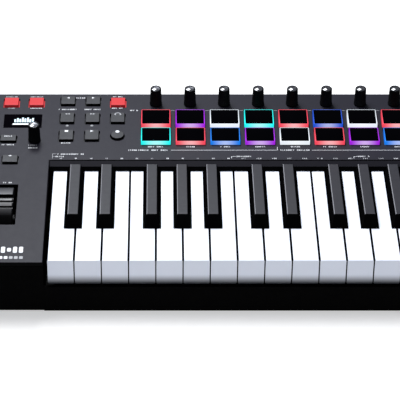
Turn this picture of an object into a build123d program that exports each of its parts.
from build123d import *
import math
import os

os.makedirs("parts", exist_ok=True)

# A compact 25-key MIDI controller. Origin: bottom centre of the case, +Z up, +X to the
# player's right, +Y away from the player. All lengths are millimetres, angles degrees.

# ---- case ----
WIDTH = 504.0
DEPTH = 251.5
FRONT = -DEPTH / 2
BACK = DEPTH / 2
FOOT_HEIGHT = 2.2
WALL = 2.5
SKIN = 2.5
CORNER_RADIUS = 3.0
EDGE_RADIUS = 0.8
RIM_DEPTH = 4.0
SEAM = 0.3

# ---- control panel: one plane that rises towards the back ----
KEY_TOP = 54.0
PANEL_TILT = 3.0
PANEL_LIFT = 0.5
SIN_TILT = math.sin(math.radians(PANEL_TILT))
COS_TILT = math.cos(math.radians(PANEL_TILT))
SLOPE = (DEPTH - RIM_DEPTH * SIN_TILT) / COS_TILT
PANEL = Plane(
    origin=(0, FRONT, KEY_TOP + PANEL_LIFT),
    x_dir=(1, 0, 0),
    z_dir=(0, -SIN_TILT, COS_TILT),
)

# ---- key well ----
WELL_LEFT = -117.2
WELL_RIGHT = 243.5
WELL_WIDTH = WELL_RIGHT - WELL_LEFT
WELL_X = (WELL_LEFT + WELL_RIGHT) / 2
KEY_FRONT = FRONT + 3.6
FALL_TOP_Y = KEY_FRONT + 143.3
FALL_LIP_Y = KEY_FRONT + 138.4
FALL_LIP_Z = KEY_TOP + 4.2
FALL_TOE_Y = KEY_FRONT + 136.6
FALL_TOE_Z = KEY_TOP + 0.7
WELL_SLOPE = (FALL_TOP_Y - FRONT) / COS_TILT
RAIL_TOP = KEY_TOP - 26.0
RAIL_DEPTH = 3.1
SKIRT = 2.0

# ---- keys ----
OCTAVE_PITCH = 165.0
NATURALS = 15
NATURALS_PER_OCTAVE = 7
PITCH = OCTAVE_PITCH / NATURALS_PER_OCTAVE
KEYS_LEFT = -114.0
KEY_GAP = 1.1
KEY_SHELL = 1.8
KEY_PLATE = 2.6
KEY_BODY = 14.0
LIP_HEIGHT = 25.0
LIP_THICKNESS = 2.2
KEY_EDGE = 0.6
LIP_CORNER = 1.2
HINGE_Y = KEY_FRONT + 158.0
HINGE_Z = KEY_TOP - 7.0
TAIL_END = KEY_FRONT + 163.0
HINGE_BLOCK = 10.0
HINGE_BLOCK_BOTTOM = KEY_TOP - 12.0
BEAD_RADIUS = 2.0
HINGE_CLEARANCE = 0.06
CLIP_SLOT = 3.2
WEB = 1.2
ACTUATOR_Y = KEY_FRONT + 100.0
ACTUATOR_SIZE = 4.0
ACTUATOR_BOTTOM = KEY_TOP - 15.0

# sharps: index of the natural on their left within the octave, and sideways shift
SHARPS = ((0, -2.4), (1, 2.4), (3, -3.5), (4, 0.0), (5, 3.5))
SHARP_FRONT = KEY_FRONT + 48.4
SHARP_BACK = KEY_FRONT + 136.1
SHARP_BASE = 13.4
SHARP_GAP = 1.0
SHARP_TOP = 9.2
SHARP_HEIGHT = 11.5
SHARP_BACK_HEIGHT = 9.0
SHARP_RUN = 5.0
SHARP_BACK_RUN = 0.6
SHARP_EDGE = 0.7
SHARP_BODY = 12.0
SHARP_DROP = 2.0

# ---- keybed chassis ----
CHASSIS_TOP = KEY_TOP - 37.5
CHASSIS_PLATE = 2.5
CHASSIS_FRONT = KEY_FRONT + 6.0
CHASSIS_BACK = KEY_FRONT + 170.0
GUIDE_WIDTH = 5.0
GUIDE_DEPTH = 8.0
GUIDE_Y = KEY_FRONT + 14.0
GUIDE_TOP = KEY_TOP - 14.0
SHARP_GUIDE_Y = KEY_FRONT + 62.0
CONTACT_BOARD_DEPTH = 26.0
CONTACT_BOARD_TOP = KEY_TOP - 28.4
CONTACT_STRIP = 2.0
DOME_RADIUS = 3.5
DOME_TOP = KEY_TOP - 20.0
RAIL_RIB = 4.0

# ---- pads ----
PAD_COLUMNS = 8
CONTROL_X = -20.0
CONTROL_PITCH = 32.15
PAD_ROWS = (182.4, 209.6)
PAD_WIDTH = 27.4
PAD_DEPTH = 23.4
PAD_HEIGHT = 3.8
PAD_CLEARANCE = 0.4
PAD_EDGE = 0.8
MAT_TOP = 2.8
MAT_SHEET = 1.2
MAT_MARGIN = 4.0
PILLAR_WIDTH = 22.0
PILLAR_DEPTH = 16.0

# ---- panel board and the controls soldered to it ----
BOARD_TOP = 11.0
BOARD_THICKNESS = 1.6
BOARD_LEFT = -236.0
BOARD_RIGHT = 236.0
BOARD_SPLIT = -123.0
BOARD_FRONT = 138.0
BOARD_FRONT_REAR = 172.0
BOARD_BACK = 241.2
POT_WIDTH = 9.6
POT_DEPTH = 11.0
POT_TOP = 4.5
BUSHING_RADIUS = 4.0
BUSHING_TOP = 3.2
SHAFT_RADIUS = 3.0
SHAFT_CLEARANCE = 0.05
SHAFT_BOTTOM = 7.7
SHAFT_WELL = 8.2
SWITCH_SIZE = 6.0
SWITCH_TOP = 7.5
PLUNGER_RADIUS = 1.7
PLUNGER_TOP = 7.25
STANDOFF_RADIUS = 2.8
STANDOFFS = ((-228, 232), (-112, 225), (-36, 232), (92.5, 235), (190, 235), (229, 180))

# ---- knobs ----
KNOB_ROW = 235.3
KNOB_HOLE = 4.5
KNOB_BASE_RADIUS = 5.9
KNOB_GRIP_RADIUS = 5.7
KNOB_TOP_RADIUS = 5.3
KNOB_GAP = 0.6
KNOB_HEIGHT = 18.0
KNOB_EDGE = 0.5
KNOB_FLATS = 20
KNOB_SKIRT_TOP = 2.2
POINTER_WIDTH = 1.0
POINTER_DEPTH = 0.5
POINTER_TURN = 135.0
ENCODER_X = -132.2
ENCODER_ROW = 177.4

# ---- buttons: centre along X, centre up the slope, width, depth ----
BUTTONS = {
    "red_button_1": (-156.4, 236.4, 13.6, 12.4),
    "red_button_2": (-132.7, 236.4, 13.6, 12.4),
    "red_button_3": (-55.7, 236.4, 13.6, 12.4),
    "bank_button_1": (-103.0, 238.4, 13.4, 12.4),
    "bank_button_2": (-79.3, 238.4, 13.4, 12.4),
    "rewind_button": (-103.0, 210.8, 13.0, 15.0),
    "forward_button": (-79.3, 210.8, 13.0, 15.0),
    "loop_button": (-55.7, 210.8, 13.0, 15.0),
    "stop_button": (-103.0, 183.4, 13.0, 15.2),
    "play_button": (-79.3, 183.4, 13.0, 15.2),
    "shift_button": (-156.5, 178.6, 14.8, 9.4),
    "octave_button_1": (-176.7, 146.7, 14.0, 10.8),
    "octave_button_2": (-153.2, 146.7, 14.0, 10.8),
}
RECORD_X = -55.6
RECORD_ROW = 183.6
RECORD_RADIUS = 6.1
BUTTON_PROUD = 2.2
BUTTON_CORNER = 0.9
BUTTON_EDGE = 0.5
BUTTON_CLEARANCE = 0.9
FLANGE = 1.2
FLANGE_TOP = 2.8
FLANGE_MARGIN = 1.7
STEM_SIZE = 5.0
STEM_BOTTOM = 5.9

# ---- display ----
DISPLAY_X = -144.4
DISPLAY_ROW = 207.6
DISPLAY_WIDTH = 35.7
DISPLAY_DEPTH = 21.6
DISPLAY_FIT = 0.1
LENS_SINK = 0.15
GLASS_WIDTH = 34.0
GLASS_DEPTH = 19.0
GLASS_TOP = 2.6

# ---- fader ----
FADER_X = -212.0
FADER_ROW = 200.0
FADER_TRAVEL = 30.0
FADER_SLOT = 3.0
FADER_SLOT_LENGTH = 36.0
FADER_BODY_WIDTH = 9.0
FADER_BODY_LENGTH = 50.0
FADER_BODY_TOP = 4.0
FADER_LEVER = 1.8
FADER_LEVER_DEPTH = 4.0
FADER_LEVER_BOTTOM = 8.0
FADER_TROUGH = 8.5
FADER_CAP_WIDTH = 11.0
FADER_CAP_DEPTH = 18.0
FADER_CAP_TOP = 9.0
FADER_CAP_WAIST = 6.5
FADER_CAP_RISE = 6.0

# ---- pitch and modulation wheels ----
WHEEL_X = {"pitch_wheel": -189.4, "mod_wheel": -153.4}
WHEEL_Y = KEY_FRONT + 77.6
WHEEL_RADIUS = 30.0
WHEEL_WIDTH = 14.4
WHEEL_PROUD = 11.5
WHEEL_SLOT_WIDTH = 19.6
WHEEL_SLOT_LENGTH = 58.0
WHEEL_ROW = (WHEEL_Y - FRONT) / COS_TILT
WHEEL_Z = KEY_TOP + PANEL_LIFT + WHEEL_ROW * SIN_TILT + WHEEL_PROUD - WHEEL_RADIUS
WHEEL_EDGE = 1.2
WHEEL_NOTCH = 2.9
WHEEL_NOTCH_SINK = 3.6
WHEEL_NOTCH_TURN = -7.0
WHEEL_GROOVE_TURNS = (-19.0, -30.0)
WHEEL_GROOVE = 1.3
WHEEL_HUB = 6.0
WHEEL_RIM = 6.5
WHEEL_WEB = 3.0
AXLE_RADIUS = 3.0
AXLE_BRACKETS = (-207.0, -171.4, -135.0)
BRACKET_WIDTH = 3.0
BRACKET_DEPTH = 14.0

# ---- rear sockets ----
SOCKET_Z = 26.0
USB_X = -205.0
USB_WIDTH = 12.0
USB_HEIGHT = 11.0
USB_LENGTH = 16.0
USB_HOLLOW_WIDTH = 8.5
USB_HOLLOW_HEIGHT = 7.8
USB_TONGUE_WIDTH = 5.6
USB_TONGUE_HEIGHT = 3.2
USB_RECESS = 6.5
USB_DEPTH = 13.0
JACK_X = -170.0
JACK_SIZE = 13.0
JACK_LENGTH = 20.0
JACK_RADIUS = 3.2
JACK_COLLAR = 5.0
SOCKET_FIT = 0.2
LOCK_X = 190.0
LOCK_WIDTH = 7.0
LOCK_HEIGHT = 3.0

# ---- feet and screws ----
FOOT_RADIUS = 8.0
FOOT_X = 228.0
FOOT_Y = 100.0
SCREW_RADIUS = 1.5
SCREW_HEAD = 3.0
SCREW_HEAD_HEIGHT = 1.8
SCREW_LENGTH = 25.0
SCREW_SINK = 0.3
SCREW_SLOT = 0.8
SCREW_SLOT_LENGTH = 4.0
PILOT_FIT = 0.05
HEAD_FIT = 0.3
HOLE_FIT = 0.25
BOSS_RADIUS = 4.5
REAR_BOSS_RADIUS = 2.8
BOSS_SPLIT = 18.0
CASE_SCREWS = (
    (-243.0, -114.0),
    (-126.0, -114.0),
    (246.5, -114.0),
    (-243.0, 117.0),
    (-118.0, 119.4),
    (60.4, 119.4),
    (246.5, 117.0),
)
CHASSIS_SCREWS = ((-78.0, -88.0), (65.0, -88.0), (205.0, -88.0), (-78.0, 22.0), (205.0, 22.0))
BOARD_SCREW_RADIUS = 1.2
BOARD_SCREW_LENGTH = 6.0


def row_height(row, lift=0.0):
    """Height of the panel at a distance up its slope."""
    return KEY_TOP + PANEL_LIFT + row * SIN_TILT + lift * COS_TILT


def natural_left(index):
    """Left boundary of a natural, counted from the lowest C."""
    return KEYS_LEFT + index * PITCH


def sharp_centres():
    """Centres of the sharps from left to right, with the natural on their left."""
    found = []
    for index in range(NATURALS - 1):
        for step, shift in SHARPS:
            if index % NATURALS_PER_OCTAVE == step:
                found.append((index, natural_left(index + 1) + shift))
    return found


SHARP_CENTRES = sharp_centres()
KNOB_CENTRES = [CONTROL_X + column * CONTROL_PITCH for column in range(PAD_COLUMNS)]
KEY_CENTRES = [natural_left(index) + PITCH / 2 for index in range(NATURALS)]


# ---- top case: tilted panel, fallboard, rim and inner skirts in one moulding ----
SKIRT_BOTTOM = RAIL_TOP - SEAM
SKIRT_FRONT = FRONT + WALL + SEAM

with BuildPart() as top_case:
    with BuildSketch(PANEL.offset(-SKIN)) as outline:
        with Locations((0, SLOPE / 2)):
            RectangleRounded(WIDTH, SLOPE, CORNER_RADIUS)
        with Locations((WELL_X, WELL_SLOPE / 2)):
            Rectangle(WELL_WIDTH, WELL_SLOPE, mode=Mode.SUBTRACT)
    extrude(amount=SKIN)
    top_edges = top_case.faces().filter_by(PANEL).sort_by(Axis.Z)[-1].edges()
    fillet(top_edges, EDGE_RADIUS)
    # rim that laps the side and back walls of the lower case
    with BuildSketch(PANEL.offset(-SKIN)) as rim:
        with Locations((0, SLOPE / 2)):
            RectangleRounded(WIDTH, SLOPE, CORNER_RADIUS)
        offset(amount=-SKIRT, mode=Mode.SUBTRACT)
        with Locations((WELL_X, 0)):
            Rectangle(WELL_WIDTH, SLOPE, mode=Mode.SUBTRACT)
        with Locations((WELL_X, SLOPE - SKIRT / 2)):
            Rectangle(WELL_WIDTH, SKIRT)
    extrude(amount=-(RIM_DEPTH - SKIN))
    # skirts down both sides of the key well
    with BuildSketch(Plane.YZ.offset(WELL_LEFT - SKIRT)) as skirt_side:
        Polygon(
            (SKIRT_FRONT, SKIRT_BOTTOM),
            (FALL_TOP_Y, SKIRT_BOTTOM),
            (FALL_TOP_Y, row_height(WELL_SLOPE, -SKIN)),
            (SKIRT_FRONT, row_height(SKIRT_FRONT - FRONT, -SKIN)),
            align=None,
        )
    extrude(amount=SKIRT)
    with BuildSketch(Plane.YZ.offset(WELL_RIGHT)):
        add(skirt_side.sketch_local)
    extrude(amount=SKIRT)
    # fallboard that slopes down to a lip above the keys
    with BuildSketch(Plane.YZ.offset(WELL_LEFT)):
        Polygon(
            (FALL_TOP_Y, row_height(WELL_SLOPE, -EDGE_RADIUS)),
            (FALL_LIP_Y, FALL_LIP_Z),
            (FALL_TOE_Y, FALL_TOE_Z),
            (FALL_TOE_Y + SKIRT, FALL_TOE_Z),
            (FALL_LIP_Y + SKIRT, FALL_LIP_Z),
            (FALL_TOP_Y + SKIRT, row_height(WELL_SLOPE, -SKIN)),
            align=None,
        )
    extrude(amount=WELL_WIDTH)
    # pad, knob, encoder, display, fader, wheel and button openings
    with BuildSketch(PANEL.offset(-RIM_DEPTH)) as openings:
        for row in PAD_ROWS:
            with Locations(*[(x, row) for x in KNOB_CENTRES]):
                Rectangle(PAD_WIDTH + 2 * PAD_CLEARANCE, PAD_DEPTH + 2 * PAD_CLEARANCE)
        with Locations(*[(x, KNOB_ROW) for x in KNOB_CENTRES], (ENCODER_X, ENCODER_ROW)):
            Circle(KNOB_HOLE)
        with Locations((DISPLAY_X, DISPLAY_ROW)):
            Rectangle(DISPLAY_WIDTH, DISPLAY_DEPTH)
        with Locations((FADER_X, FADER_ROW)):
            Rectangle(FADER_SLOT, FADER_SLOT_LENGTH)
        with Locations(*[(x, WHEEL_ROW) for x in WHEEL_X.values()]):
            Rectangle(WHEEL_SLOT_WIDTH, WHEEL_SLOT_LENGTH)
        for x, row, width, depth in BUTTONS.values():
            with Locations((x, row)):
                RectangleRounded(
                    width + 2 * BUTTON_CLEARANCE, depth + 2 * BUTTON_CLEARANCE, BUTTON_CORNER
                )
        with Locations((RECORD_X, RECORD_ROW)):
            Circle(RECORD_RADIUS + BUTTON_CLEARANCE)
    extrude(amount=2 * RIM_DEPTH, mode=Mode.SUBTRACT)
    # stand-offs that carry the panel board
    with BuildSketch(PANEL.offset(-BOARD_TOP)):
        with Locations(*STANDOFFS):
            Circle(STANDOFF_RADIUS)
    extrude(amount=BOARD_TOP - SKIN / 2)
    with BuildSketch(PANEL.offset(-BOARD_TOP)):
        with Locations(*STANDOFFS):
            Circle(BOARD_SCREW_RADIUS + PILOT_FIT)
    extrude(amount=BOARD_SCREW_LENGTH, mode=Mode.SUBTRACT)
    # screw bosses that meet the lower case
    for x, y in CASE_SCREWS:
        boss = REAR_BOSS_RADIUS if x > WELL_RIGHT or y > FOOT_Y else BOSS_RADIUS
        reach = row_height(y - FRONT, -SKIN) - BOSS_SPLIT
        with BuildSketch(Plane.XY.offset(BOSS_SPLIT)):
            with Locations((x, y)):
                Circle(boss)
        extrude(amount=reach)
        with BuildSketch(Plane.XY.offset(BOSS_SPLIT)):
            with Locations((x, y)):
                Circle(SCREW_RADIUS + PILOT_FIT)
        extrude(amount=SCREW_LENGTH - BOSS_SPLIT + 2 * FOOT_HEIGHT, mode=Mode.SUBTRACT)
top_case.part.label = "top_case"
export_step(top_case.part, "parts/top_case.step")


# ---- lower case: tray with a low front rail, wheel brackets and bosses ----
SIDE_TOP_FRONT = row_height(0, -RIM_DEPTH) - SEAM
SIDE_TOP_BACK = row_height(SLOPE, -RIM_DEPTH) - SEAM
FLOOR = FOOT_HEIGHT + WALL

with BuildPart() as bottom_case:
    with BuildSketch(Plane.YZ.offset(-WIDTH / 2)):
        Polygon(
            (FRONT, FOOT_HEIGHT),
            (BACK, FOOT_HEIGHT),
            (BACK, SIDE_TOP_BACK),
            (FRONT, SIDE_TOP_FRONT),
            align=None,
        )
    extrude(amount=WIDTH)
    fillet(bottom_case.edges().filter_by(Axis.Z), CORNER_RADIUS)
    bottom_edges = bottom_case.faces().sort_by(Axis.Z)[0].edges()
    chamfer(bottom_edges, EDGE_RADIUS)
    with BuildSketch(Plane.XY.offset(FLOOR)):
        Rectangle(WIDTH - 2 * WALL, DEPTH - 2 * WALL)
    extrude(amount=DEPTH, mode=Mode.SUBTRACT)
    # the front wall drops to a rail below the keys
    with BuildSketch(Plane.XY.offset(RAIL_TOP)):
        with Locations((WELL_X, FRONT)):
            Rectangle(WELL_WIDTH, 2 * RAIL_RIB)
    extrude(amount=DEPTH, mode=Mode.SUBTRACT)
    with BuildSketch(Plane.XY.offset(FOOT_HEIGHT)):
        with Locations((WELL_X, FRONT + RAIL_DEPTH / 2)):
            Rectangle(WELL_WIDTH, RAIL_DEPTH)
    extrude(amount=RAIL_TOP - FOOT_HEIGHT)
    # brackets and axle of the two wheels
    with BuildSketch(Plane.XY.offset(FLOOR)):
        with Locations(*[(x, WHEEL_Y) for x in AXLE_BRACKETS]):
            Rectangle(BRACKET_WIDTH, BRACKET_DEPTH)
    extrude(amount=WHEEL_Z + BRACKET_DEPTH / 2 - FLOOR)
    with BuildSketch(Plane.YZ.offset(AXLE_BRACKETS[0])):
        with Locations((WHEEL_Y, WHEEL_Z)):
            Circle(AXLE_RADIUS)
    extrude(amount=AXLE_BRACKETS[-1] - AXLE_BRACKETS[0])
    # screw bosses and holes
    for x, y in CASE_SCREWS:
        boss = REAR_BOSS_RADIUS if x > WELL_RIGHT or y > FOOT_Y else BOSS_RADIUS
        with BuildSketch(Plane.XY.offset(FOOT_HEIGHT)):
            with Locations((x, y)):
                Circle(boss)
        extrude(amount=BOSS_SPLIT - SEAM - FOOT_HEIGHT)
    for x, y in CASE_SCREWS + CHASSIS_SCREWS:
        with BuildSketch(Plane.XY):
            with Locations((x, y)):
                Circle(SCREW_RADIUS + HOLE_FIT)
        extrude(amount=BOSS_SPLIT + FLOOR, mode=Mode.SUBTRACT)
        with BuildSketch(Plane.XY):
            with Locations((x, y)):
                Circle(SCREW_HEAD + HEAD_FIT)
        extrude(amount=FOOT_HEIGHT + SCREW_SINK + SCREW_HEAD_HEIGHT, mode=Mode.SUBTRACT)
    # openings in the back wall
    with BuildSketch(Plane.XZ.offset(-BACK - WALL)):
        with Locations((USB_X, SOCKET_Z)):
            Rectangle(USB_HOLLOW_WIDTH + SOCKET_FIT, USB_HOLLOW_HEIGHT + SOCKET_FIT)
        with Locations((JACK_X, SOCKET_Z)):
            Circle(JACK_COLLAR + SOCKET_FIT)
        with Locations((LOCK_X, SOCKET_Z)):
            RectangleRounded(LOCK_WIDTH, LOCK_HEIGHT, LOCK_HEIGHT / 3)
    extrude(amount=3 * WALL, mode=Mode.SUBTRACT)
bottom_case.part.label = "bottom_case"
export_step(bottom_case.part, "parts/bottom_case.step")


# ---- keybed chassis: plate, key guides, contact board ribs, hinge web and bead ----
CHASSIS_LEFT = WELL_LEFT + 1.0
CHASSIS_RIGHT = WELL_RIGHT - 1.0
CHASSIS_WIDTH = CHASSIS_RIGHT - CHASSIS_LEFT
CHASSIS_X = (CHASSIS_LEFT + CHASSIS_RIGHT) / 2
CHASSIS_UNDER = CHASSIS_TOP - CHASSIS_PLATE

with BuildPart() as keybed_chassis:
    with BuildSketch(Plane.XY.offset(CHASSIS_UNDER)):
        with Locations((CHASSIS_X, (CHASSIS_FRONT + CHASSIS_BACK) / 2)):
            Rectangle(CHASSIS_WIDTH, CHASSIS_BACK - CHASSIS_FRONT)
    extrude(amount=CHASSIS_PLATE)
    with BuildSketch(Plane.XY.offset(CHASSIS_TOP)):
        with Locations(*[(x, GUIDE_Y) for x in KEY_CENTRES]):
            Rectangle(GUIDE_WIDTH, GUIDE_DEPTH)
        with Locations(*[(x, SHARP_GUIDE_Y) for _, x in SHARP_CENTRES]):
            Rectangle(GUIDE_WIDTH, GUIDE_DEPTH)
    extrude(amount=GUIDE_TOP - CHASSIS_TOP)
    with BuildSketch(Plane.XY.offset(CHASSIS_TOP)):
        for side in (-1, 1):
            with Locations((CHASSIS_X, ACTUATOR_Y + side * (CONTACT_BOARD_DEPTH - RAIL_RIB) / 2)):
                Rectangle(CHASSIS_WIDTH, RAIL_RIB)
    extrude(amount=CONTACT_BOARD_TOP - BOARD_THICKNESS - CHASSIS_TOP)
    with BuildSketch(Plane.XY.offset(CHASSIS_TOP)):
        with Locations((CHASSIS_X, HINGE_Y)):
            Rectangle(CHASSIS_WIDTH, WEB)
    extrude(amount=HINGE_Z - CHASSIS_TOP)
    with BuildSketch(Plane.YZ.offset(CHASSIS_LEFT)):
        with Locations((HINGE_Y, HINGE_Z)):
            Circle(BEAD_RADIUS)
    extrude(amount=CHASSIS_WIDTH)
    with BuildSketch(Plane.XY.offset(FLOOR)):
        with Locations(*CHASSIS_SCREWS):
            Circle(BOSS_RADIUS)
    extrude(amount=CHASSIS_UNDER - FLOOR)
    with BuildSketch(Plane.XY.offset(CHASSIS_UNDER)):
        with Locations(*CHASSIS_SCREWS):
            Circle(BOSS_RADIUS)
    extrude(amount=SCREW_LENGTH + FOOT_HEIGHT - CHASSIS_UNDER)
    with BuildSketch(Plane.XY):
        with Locations(*CHASSIS_SCREWS):
            Circle(SCREW_RADIUS + PILOT_FIT)
    extrude(amount=DEPTH, mode=Mode.SUBTRACT)
keybed_chassis.part.label = "keybed_chassis"
export_step(keybed_chassis.part, "parts/keybed_chassis.step")


# ---- naturals: hollow shells with a deep front lip and a snap-on hinge clip ----
for index in range(NATURALS):
    left = natural_left(index) + KEY_GAP / 2
    right = natural_left(index + 1) - KEY_GAP / 2
    tail_left = left
    tail_right = right
    for neighbour, centre in SHARP_CENTRES:
        if neighbour == index:
            tail_right = centre - SHARP_BASE / 2 - SHARP_GAP
        if neighbour == index - 1:
            tail_left = centre + SHARP_BASE / 2 + SHARP_GAP
    head_x = (left + right) / 2
    tail_x = (tail_left + tail_right) / 2
    head_end = SHARP_FRONT - SHARP_GAP
    with BuildPart() as white_key:
        with BuildSketch(Plane.XY.offset(KEY_TOP - KEY_BODY)) as plan:
            with Locations((head_x, (KEY_FRONT + head_end) / 2)):
                Rectangle(right - left, head_end - KEY_FRONT)
            with Locations((tail_x, (KEY_FRONT + TAIL_END) / 2)):
                Rectangle(tail_right - tail_left, TAIL_END - KEY_FRONT)
        extrude(amount=KEY_BODY)
        with BuildSketch(Plane.XY.offset(KEY_TOP - KEY_BODY)):
            add(plan.sketch_local)
            offset(amount=-KEY_SHELL, kind=Kind.INTERSECTION, mode=Mode.REPLACE)
        extrude(amount=KEY_BODY - KEY_PLATE, mode=Mode.SUBTRACT)
        with BuildSketch(Plane.XZ.offset(-KEY_FRONT)):
            with Locations((head_x, KEY_TOP - LIP_HEIGHT / 2 - KEY_PLATE / 2)):
                RectangleRounded(right - left, LIP_HEIGHT - KEY_PLATE, LIP_CORNER)
        extrude(amount=-LIP_THICKNESS)
        with BuildSketch(Plane.XY.offset(HINGE_BLOCK_BOTTOM)):
            with Locations((tail_x, TAIL_END - HINGE_BLOCK / 2)):
                Rectangle(tail_right - tail_left, HINGE_BLOCK)
        extrude(amount=KEY_TOP - HINGE_BLOCK_BOTTOM - KEY_PLATE / 2)
        with BuildSketch(Plane.XY.offset(ACTUATOR_BOTTOM)):
            with Locations((tail_x, ACTUATOR_Y)):
                Rectangle(ACTUATOR_SIZE, ACTUATOR_SIZE)
        extrude(amount=KEY_TOP - ACTUATOR_BOTTOM - KEY_PLATE / 2)
        with BuildSketch(Plane.YZ.offset(left - KEY_GAP)):
            with Locations((HINGE_Y, HINGE_Z)):
                Circle(BEAD_RADIUS + HINGE_CLEARANCE)
            with Locations((HINGE_Y, HINGE_Z - KEY_BODY / 2)):
                Rectangle(CLIP_SLOT, KEY_BODY)
        extrude(amount=PITCH + KEY_GAP, mode=Mode.SUBTRACT)
        rim_edges = white_key.faces().filter_by(Axis.Z).sort_by(Axis.Z)[-1].edges()
        fillet(rim_edges, KEY_EDGE)
    name = f"white_key_{index + 1:02d}"
    white_key.part.label = name
    export_step(white_key.part, f"parts/{name}.step")


# ---- sharps: tapered caps on a hollow tail with the same hinge clip ----
CAP_PITCH = math.degrees(
    math.atan2(
        SHARP_BACK_HEIGHT - SHARP_HEIGHT,
        SHARP_BACK - SHARP_BACK_RUN - SHARP_FRONT - SHARP_RUN,
    )
)
CAP_MIDDLE = (SHARP_FRONT + SHARP_RUN + SHARP_BACK - SHARP_BACK_RUN) / 2
CAP_LENGTH = (SHARP_BACK - SHARP_BACK_RUN - SHARP_FRONT - SHARP_RUN) / math.cos(
    math.radians(CAP_PITCH)
)
CAP_MID_HEIGHT = KEY_TOP + (SHARP_HEIGHT + SHARP_BACK_HEIGHT) / 2

for number, (_, centre) in enumerate(SHARP_CENTRES, start=1):
    cap_plane = Plane(
        origin=(centre, CAP_MIDDLE, CAP_MID_HEIGHT), x_dir=(1, 0, 0), z_dir=(0, 0, 1)
    ).rotated((CAP_PITCH, 0, 0))
    with BuildPart() as black_key:
        with BuildSketch(Plane.XY.offset(KEY_TOP)):
            with Locations((centre, (SHARP_FRONT + SHARP_BACK) / 2)):
                Rectangle(SHARP_BASE, SHARP_BACK - SHARP_FRONT)
        with BuildSketch(cap_plane):
            Rectangle(SHARP_TOP, CAP_LENGTH)
        loft()
        cap_edges = black_key.faces().sort_by(Axis.Z)[-1].edges()
        fillet(cap_edges, SHARP_EDGE)
        with BuildSketch(Plane.XY.offset(KEY_TOP - SHARP_BODY)):
            with Locations((centre, (SHARP_FRONT + SHARP_BACK) / 2)):
                Rectangle(SHARP_BASE, SHARP_BACK - SHARP_FRONT)
        extrude(amount=SHARP_BODY)
        with BuildSketch(Plane.XY.offset(KEY_TOP - SHARP_BODY)):
            with Locations((centre, (SHARP_FRONT + TAIL_END) / 2)):
                Rectangle(SHARP_BASE, TAIL_END - SHARP_FRONT)
        extrude(amount=SHARP_BODY - SHARP_DROP)
        with BuildSketch(Plane.XY.offset(KEY_TOP - SHARP_BODY)):
            with Locations((centre, (SHARP_FRONT + TAIL_END - HINGE_BLOCK) / 2 + KEY_SHELL / 2)):
                Rectangle(
                    SHARP_BASE - 2 * KEY_SHELL,
                    TAIL_END - HINGE_BLOCK - SHARP_FRONT - KEY_SHELL,
                )
        extrude(amount=SHARP_BODY - SHARP_DROP - KEY_SHELL, mode=Mode.SUBTRACT)
        with BuildSketch(Plane.XY.offset(ACTUATOR_BOTTOM)):
            with Locations((centre, ACTUATOR_Y)):
                Rectangle(ACTUATOR_SIZE, ACTUATOR_SIZE)
        extrude(amount=KEY_TOP - SHARP_DROP - KEY_SHELL / 2 - ACTUATOR_BOTTOM)
        with BuildSketch(Plane.YZ.offset(centre - SHARP_BASE)):
            with Locations((HINGE_Y, HINGE_Z)):
                Circle(BEAD_RADIUS + HINGE_CLEARANCE)
            with Locations((HINGE_Y, HINGE_Z - SHARP_BODY / 2)):
                Rectangle(CLIP_SLOT, SHARP_BODY)
        extrude(amount=2 * SHARP_BASE, mode=Mode.SUBTRACT)
    name = f"black_key_{number:02d}"
    black_key.part.label = name
    export_step(black_key.part, f"parts/{name}.step")


# ---- knobs: faceted caps on a round shaft that turns in the potentiometer's bushing ----
KNOB_PLACES = {f"knob_{number}": (x, KNOB_ROW) for number, x in enumerate(KNOB_CENTRES, start=1)}
KNOB_PLACES["encoder_knob"] = (ENCODER_X, ENCODER_ROW)
POINTER_X = -math.sin(math.radians(POINTER_TURN)) * KNOB_TOP_RADIUS / 2
POINTER_ROW = math.cos(math.radians(POINTER_TURN)) * KNOB_TOP_RADIUS / 2

for name, (x, row) in KNOB_PLACES.items():
    with BuildPart() as knob:
        with BuildSketch(PANEL.offset(KNOB_SKIRT_TOP)):
            with Locations((x, row)):
                RegularPolygon(KNOB_GRIP_RADIUS, KNOB_FLATS)
        with BuildSketch(PANEL.offset(KNOB_HEIGHT)):
            with Locations((x, row)):
                RegularPolygon(KNOB_TOP_RADIUS, KNOB_FLATS)
        loft(ruled=True)
        chamfer(knob.faces().sort_by(Axis.Z)[-1].edges(), KNOB_EDGE)
        with BuildSketch(PANEL.offset(KNOB_GAP)):
            with Locations((x, row)):
                Circle(KNOB_BASE_RADIUS)
        extrude(amount=KNOB_SKIRT_TOP - KNOB_GAP)
        with BuildSketch(PANEL.offset(KNOB_HEIGHT - POINTER_DEPTH)):
            with Locations((x + POINTER_X, row + POINTER_ROW)):
                Rectangle(POINTER_WIDTH, KNOB_TOP_RADIUS, rotation=POINTER_TURN)
        extrude(amount=2 * POINTER_DEPTH, mode=Mode.SUBTRACT)
        with BuildSketch(PANEL.offset(-SHAFT_BOTTOM)):
            with Locations((x, row)):
                Circle(SHAFT_RADIUS)
        extrude(amount=SHAFT_BOTTOM + KNOB_SKIRT_TOP)
    knob.part.label = name
    export_step(knob.part, f"parts/{name}.step")


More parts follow.
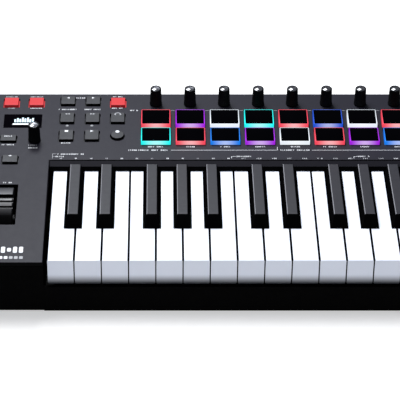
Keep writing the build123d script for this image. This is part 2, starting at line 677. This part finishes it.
# ---- buttons: caps with a retaining flange and a stem over a tact switch ----
for name, (x, row, width, depth) in BUTTONS.items():
    with BuildPart() as button:
        with BuildSketch(PANEL.offset(-FLANGE_TOP)):
            with Locations((x, row)):
                RectangleRounded(width, depth, BUTTON_CORNER)
        extrude(amount=FLANGE_TOP + BUTTON_PROUD)
        fillet(button.faces().sort_by(Axis.Z)[-1].edges(), BUTTON_EDGE)
        with BuildSketch(PANEL.offset(-FLANGE_TOP)):
            with Locations((x, row)):
                Rectangle(width + 2 * FLANGE_MARGIN, depth + 2 * FLANGE_MARGIN)
        extrude(amount=-FLANGE)
        with BuildSketch(PANEL.offset(-FLANGE_TOP)):
            with Locations((x, row)):
                Rectangle(STEM_SIZE, STEM_SIZE)
        extrude(amount=FLANGE_TOP - STEM_BOTTOM)
    button.part.label = name
    export_step(button.part, f"parts/{name}.step")

with BuildPart() as record_button:
    with BuildSketch(PANEL.offset(-FLANGE_TOP)):
        with Locations((RECORD_X, RECORD_ROW)):
            Circle(RECORD_RADIUS)
    extrude(amount=FLANGE_TOP + BUTTON_PROUD)
    fillet(record_button.faces().sort_by(Axis.Z)[-1].edges(), BUTTON_EDGE)
    with BuildSketch(PANEL.offset(-FLANGE_TOP)):
        with Locations((RECORD_X, RECORD_ROW)):
            Circle(RECORD_RADIUS + FLANGE_MARGIN)
    extrude(amount=-FLANGE)
    with BuildSketch(PANEL.offset(-FLANGE_TOP)):
        with Locations((RECORD_X, RECORD_ROW)):
            Rectangle(STEM_SIZE, STEM_SIZE)
    extrude(amount=FLANGE_TOP - STEM_BOTTOM)
record_button.part.label = "record_button"
export_step(record_button.part, "parts/record_button.step")


# ---- wheels: ribbed rims with a finger notch, turning on the case's axle ----
for name, x in WHEEL_X.items():
    face = Plane(
        origin=(x - WHEEL_WIDTH / 2, WHEEL_Y, WHEEL_Z), x_dir=(0, 1, 0), z_dir=(1, 0, 0)
    )
    with BuildPart() as wheel:
        with BuildSketch(face):
            Circle(WHEEL_RADIUS)
        extrude(amount=WHEEL_WIDTH)
        fillet(wheel.edges().filter_by(GeomType.CIRCLE), WHEEL_EDGE)
        for side_plane in (face, face.offset(WHEEL_WIDTH)):
            with BuildSketch(side_plane):
                Circle(WHEEL_RADIUS - WHEEL_RIM)
                Circle(WHEEL_HUB, mode=Mode.SUBTRACT)
            extrude(
                amount=(WHEEL_WIDTH - WHEEL_WEB) / 2,
                dir=face.z_dir if side_plane is face else -face.z_dir,
                mode=Mode.SUBTRACT,
            )
        turn = math.radians(90 - WHEEL_NOTCH_TURN)
        reach = WHEEL_RADIUS + WHEEL_NOTCH - WHEEL_NOTCH_SINK
        with BuildSketch(face):
            with Locations((reach * math.cos(turn), reach * math.sin(turn))):
                Circle(WHEEL_NOTCH)
            for groove_turn in WHEEL_GROOVE_TURNS:
                angle = math.radians(90 - groove_turn)
                with Locations((WHEEL_RADIUS * math.cos(angle), WHEEL_RADIUS * math.sin(angle))):
                    Circle(WHEEL_GROOVE)
        extrude(amount=WHEEL_WIDTH, mode=Mode.SUBTRACT)
        with BuildSketch(face):
            Circle(AXLE_RADIUS + SHAFT_CLEARANCE)
        extrude(amount=WHEEL_WIDTH, mode=Mode.SUBTRACT)
    wheel.part.label = name
    export_step(wheel.part, f"parts/{name}.step")


# ---- fader cap: waisted grip on a flat lever ----
with BuildPart() as fader_cap:
    with BuildSketch(Plane.YZ.offset(-FADER_CAP_WIDTH / 2)):
        Polygon(
            (-FADER_CAP_DEPTH / 2, KNOB_GAP),
            (FADER_CAP_DEPTH / 2, KNOB_GAP),
            (FADER_CAP_DEPTH / 2 - 1, FADER_CAP_TOP),
            (FADER_CAP_DEPTH / 4, FADER_CAP_TOP),
            (0, FADER_CAP_RISE),
            (-FADER_CAP_DEPTH / 4, FADER_CAP_TOP),
            (-FADER_CAP_DEPTH / 2 + 1, FADER_CAP_TOP),
            align=None,
        )
    extrude(amount=FADER_CAP_WIDTH)
    fillet(fader_cap.edges().filter_by(Axis.X), BUTTON_EDGE)
    with BuildSketch(Plane.XY.offset(-FADER_LEVER_BOTTOM)):
        Rectangle(FADER_LEVER, FADER_LEVER_DEPTH)
    extrude(amount=FADER_LEVER_BOTTOM + KNOB_GAP)
fader_cap.part = PANEL.location * Pos(FADER_X, FADER_ROW, 0) * fader_cap.part
fader_cap.part.label = "fader_cap"
export_step(fader_cap.part, "parts/fader_cap.step")


# ---- boards: panel board with its controls, and the key contact board ----
with BuildPart() as circuit_boards:
    with BuildSketch(PANEL.offset(-BOARD_TOP - BOARD_THICKNESS)):
        with Locations(((BOARD_LEFT + BOARD_SPLIT) / 2, (BOARD_FRONT + BOARD_BACK) / 2)):
            Rectangle(BOARD_SPLIT - BOARD_LEFT, BOARD_BACK - BOARD_FRONT)
        with Locations(((BOARD_SPLIT + BOARD_RIGHT) / 2, (BOARD_FRONT_REAR + BOARD_BACK) / 2)):
            Rectangle(BOARD_RIGHT - BOARD_SPLIT, BOARD_BACK - BOARD_FRONT_REAR)
        with Locations(*STANDOFFS):
            Circle(BOARD_SCREW_RADIUS + PILOT_FIT, mode=Mode.SUBTRACT)
    extrude(amount=BOARD_THICKNESS)
    with BuildSketch(PANEL.offset(-BOARD_TOP)):
        with Locations(*KNOB_PLACES.values()):
            Rectangle(POT_WIDTH, POT_DEPTH)
    extrude(amount=BOARD_TOP - POT_TOP)
    with BuildSketch(PANEL.offset(-POT_TOP)):
        with Locations(*KNOB_PLACES.values()):
            Circle(BUSHING_RADIUS)
    extrude(amount=POT_TOP - BUSHING_TOP)
    with BuildSketch(PANEL.offset(-SHAFT_WELL)):
        with Locations(*KNOB_PLACES.values()):
            Circle(SHAFT_RADIUS + SHAFT_CLEARANCE)
    extrude(amount=SHAFT_WELL, mode=Mode.SUBTRACT)
    with BuildSketch(PANEL.offset(-BOARD_TOP)):
        with Locations(*[(x, row) for x, row, _, _ in BUTTONS.values()], (RECORD_X, RECORD_ROW)):
            Rectangle(SWITCH_SIZE, SWITCH_SIZE)
    extrude(amount=BOARD_TOP - SWITCH_TOP)
    with BuildSketch(PANEL.offset(-SWITCH_TOP)):
        with Locations(*[(x, row) for x, row, _, _ in BUTTONS.values()], (RECORD_X, RECORD_ROW)):
            Circle(PLUNGER_RADIUS)
    extrude(amount=SWITCH_TOP - PLUNGER_TOP)
    with BuildSketch(PANEL.offset(-BOARD_TOP)):
        with Locations((FADER_X, FADER_ROW)):
            Rectangle(FADER_BODY_WIDTH, FADER_BODY_LENGTH)
    extrude(amount=BOARD_TOP - FADER_BODY_TOP)
    with BuildSketch(PANEL.offset(-FADER_TROUGH)):
        with Locations((FADER_X, FADER_ROW)):
            Rectangle(FADER_SLOT, FADER_SLOT_LENGTH)
    extrude(amount=FADER_TROUGH, mode=Mode.SUBTRACT)
    with BuildSketch(Plane.XY.offset(CONTACT_BOARD_TOP - BOARD_THICKNESS)):
        with Locations((CHASSIS_X, ACTUATOR_Y)):
            Rectangle(CHASSIS_WIDTH, CONTACT_BOARD_DEPTH)
    extrude(amount=BOARD_THICKNESS)
circuit_boards.part.label = "circuit_boards"
export_step(circuit_boards.part, "parts/circuit_boards.step")


# ---- silicone mouldings: the pad mat and the key contact strip ----
PAD_MIDDLE = (PAD_ROWS[0] + PAD_ROWS[1]) / 2
PAD_SPAN = PAD_ROWS[1] - PAD_ROWS[0] + PAD_DEPTH
PADS_WIDE = (PAD_COLUMNS - 1) * CONTROL_PITCH + PAD_WIDTH
PADS_X = CONTROL_X + (PAD_COLUMNS - 1) * CONTROL_PITCH / 2
ALL_KEY_CENTRES = []
for index in range(NATURALS):
    tail_left = natural_left(index)
    tail_right = natural_left(index + 1)
    for neighbour, centre in SHARP_CENTRES:
        if neighbour == index:
            tail_right = centre - SHARP_BASE / 2 - SHARP_GAP + KEY_GAP / 2
        if neighbour == index - 1:
            tail_left = centre + SHARP_BASE / 2 + SHARP_GAP - KEY_GAP / 2
    ALL_KEY_CENTRES.append((tail_left + tail_right) / 2)
ALL_KEY_CENTRES.extend(centre for _, centre in SHARP_CENTRES)

with BuildPart() as silicone_mats:
    with BuildSketch(PANEL.offset(-MAT_TOP - MAT_SHEET)):
        with Locations((PADS_X, PAD_MIDDLE)):
            Rectangle(PADS_WIDE + 2 * MAT_MARGIN, PAD_SPAN)
    extrude(amount=MAT_SHEET)
    with BuildSketch(PANEL.offset(-MAT_TOP)):
        for row in PAD_ROWS:
            with Locations(*[(x, row) for x in KNOB_CENTRES]):
                Rectangle(PAD_WIDTH, PAD_DEPTH)
    extrude(amount=MAT_TOP + PAD_HEIGHT)
    pad_tops = silicone_mats.faces().filter_by(PANEL).group_by(Axis(PANEL.origin, PANEL.z_dir))[-1]
    fillet(pad_tops.edges(), PAD_EDGE)
    with BuildSketch(PANEL.offset(-BOARD_TOP)):
        for row in PAD_ROWS:
            with Locations(*[(x, row) for x in KNOB_CENTRES]):
                Rectangle(PILLAR_WIDTH, PILLAR_DEPTH)
    extrude(amount=BOARD_TOP - MAT_TOP)
    with BuildSketch(Plane.XY.offset(CONTACT_BOARD_TOP)):
        with Locations((CHASSIS_X, ACTUATOR_Y)):
            Rectangle(CHASSIS_WIDTH, CONTACT_BOARD_DEPTH / 2)
    extrude(amount=CONTACT_STRIP)
    with BuildSketch(Plane.XY.offset(CONTACT_BOARD_TOP)):
        with Locations(*[(x, ACTUATOR_Y) for x in ALL_KEY_CENTRES]):
            Circle(DOME_RADIUS)
    extrude(amount=DOME_TOP - CONTACT_BOARD_TOP)
silicone_mats.part.label = "silicone_mats"
export_step(silicone_mats.part, "parts/silicone_mats.step")


# ---- display: clear lens over the glass panel ----
with BuildPart() as display_module:
    with BuildSketch(PANEL.offset(-SKIN)):
        with Locations((DISPLAY_X, DISPLAY_ROW)):
            Rectangle(DISPLAY_WIDTH - 2 * DISPLAY_FIT, DISPLAY_DEPTH - 2 * DISPLAY_FIT)
    extrude(amount=SKIN - LENS_SINK)
    with BuildSketch(PANEL.offset(-BOARD_TOP)):
        with Locations((DISPLAY_X, DISPLAY_ROW)):
            Rectangle(GLASS_WIDTH, GLASS_DEPTH)
    extrude(amount=BOARD_TOP - GLASS_TOP)
display_module.part.label = "display_module"
export_step(display_module.part, "parts/display_module.step")


# ---- rear sockets: computer port and pedal jack ----
with BuildPart() as rear_sockets:
    with BuildSketch(Plane.XZ.offset(-BACK + WALL)):
        with Locations((USB_X, SOCKET_Z)):
            Rectangle(USB_WIDTH, USB_HEIGHT)
    extrude(amount=USB_LENGTH)
    with BuildSketch(Plane.XZ.offset(-BACK + WALL)):
        with Locations((USB_X, SOCKET_Z)):
            Rectangle(USB_HOLLOW_WIDTH, USB_HOLLOW_HEIGHT)
    extrude(amount=USB_DEPTH, mode=Mode.SUBTRACT)
    with BuildSketch(Plane.XZ.offset(-BACK + USB_RECESS)):
        with Locations((USB_X, SOCKET_Z)):
            Rectangle(USB_TONGUE_WIDTH, USB_TONGUE_HEIGHT)
    extrude(amount=USB_DEPTH + WALL - USB_RECESS)
    with BuildSketch(Plane.XZ.offset(-BACK + WALL)):
        with Locations((JACK_X, SOCKET_Z)):
            Rectangle(JACK_SIZE, JACK_SIZE)
    extrude(amount=JACK_LENGTH)
    with BuildSketch(Plane.XZ.offset(-BACK + WALL)):
        with Locations((JACK_X, SOCKET_Z)):
            Circle(JACK_COLLAR)
    extrude(amount=-WALL)
    with BuildSketch(Plane.XZ.offset(-BACK)):
        with Locations((JACK_X, SOCKET_Z)):
            Circle(JACK_RADIUS)
    extrude(amount=JACK_LENGTH, mode=Mode.SUBTRACT)
rear_sockets.part.label = "rear_sockets"
export_step(rear_sockets.part, "parts/rear_sockets.step")


# ---- screws: case and chassis screws from below, board screws behind the panel ----
with BuildPart() as screws:
    with BuildSketch(Plane.XY.offset(FOOT_HEIGHT + SCREW_SINK)):
        with Locations(*CASE_SCREWS, *CHASSIS_SCREWS):
            Circle(SCREW_HEAD)
    extrude(amount=SCREW_HEAD_HEIGHT)
    with BuildSketch(Plane.XY.offset(FOOT_HEIGHT + SCREW_SINK)):
        with Locations(*CASE_SCREWS, *CHASSIS_SCREWS):
            Rectangle(SCREW_SLOT, SCREW_SLOT_LENGTH)
            Rectangle(SCREW_SLOT_LENGTH, SCREW_SLOT)
    extrude(amount=SCREW_SLOT, mode=Mode.SUBTRACT)
    with BuildSketch(Plane.XY.offset(FOOT_HEIGHT + SCREW_SINK + SCREW_HEAD_HEIGHT)):
        with Locations(*CASE_SCREWS, *CHASSIS_SCREWS):
            Circle(SCREW_RADIUS)
    extrude(amount=SCREW_LENGTH - SCREW_HEAD_HEIGHT)
    with BuildSketch(PANEL.offset(-BOARD_TOP - BOARD_THICKNESS)):
        with Locations(*STANDOFFS):
            Circle(2 * BOARD_SCREW_RADIUS)
    extrude(amount=-SCREW_HEAD_HEIGHT)
    with BuildSketch(PANEL.offset(-BOARD_TOP - BOARD_THICKNESS)):
        with Locations(*STANDOFFS):
            Circle(BOARD_SCREW_RADIUS)
    extrude(amount=BOARD_SCREW_LENGTH)
screws.part.label = "screws"
export_step(screws.part, "parts/screws.step")


# ---- feet: rubber discs under the corners ----
with BuildPart() as feet:
    with BuildSketch(Plane.XY):
        with GridLocations(2 * FOOT_X, 2 * FOOT_Y, 2, 2):
            Circle(FOOT_RADIUS)
    extrude(amount=FOOT_HEIGHT)
    chamfer(feet.faces().sort_by(Axis.Z)[:4].edges(), FOOT_HEIGHT / 4)
feet.part.label = "feet"
export_step(feet.part, "parts/feet.step")
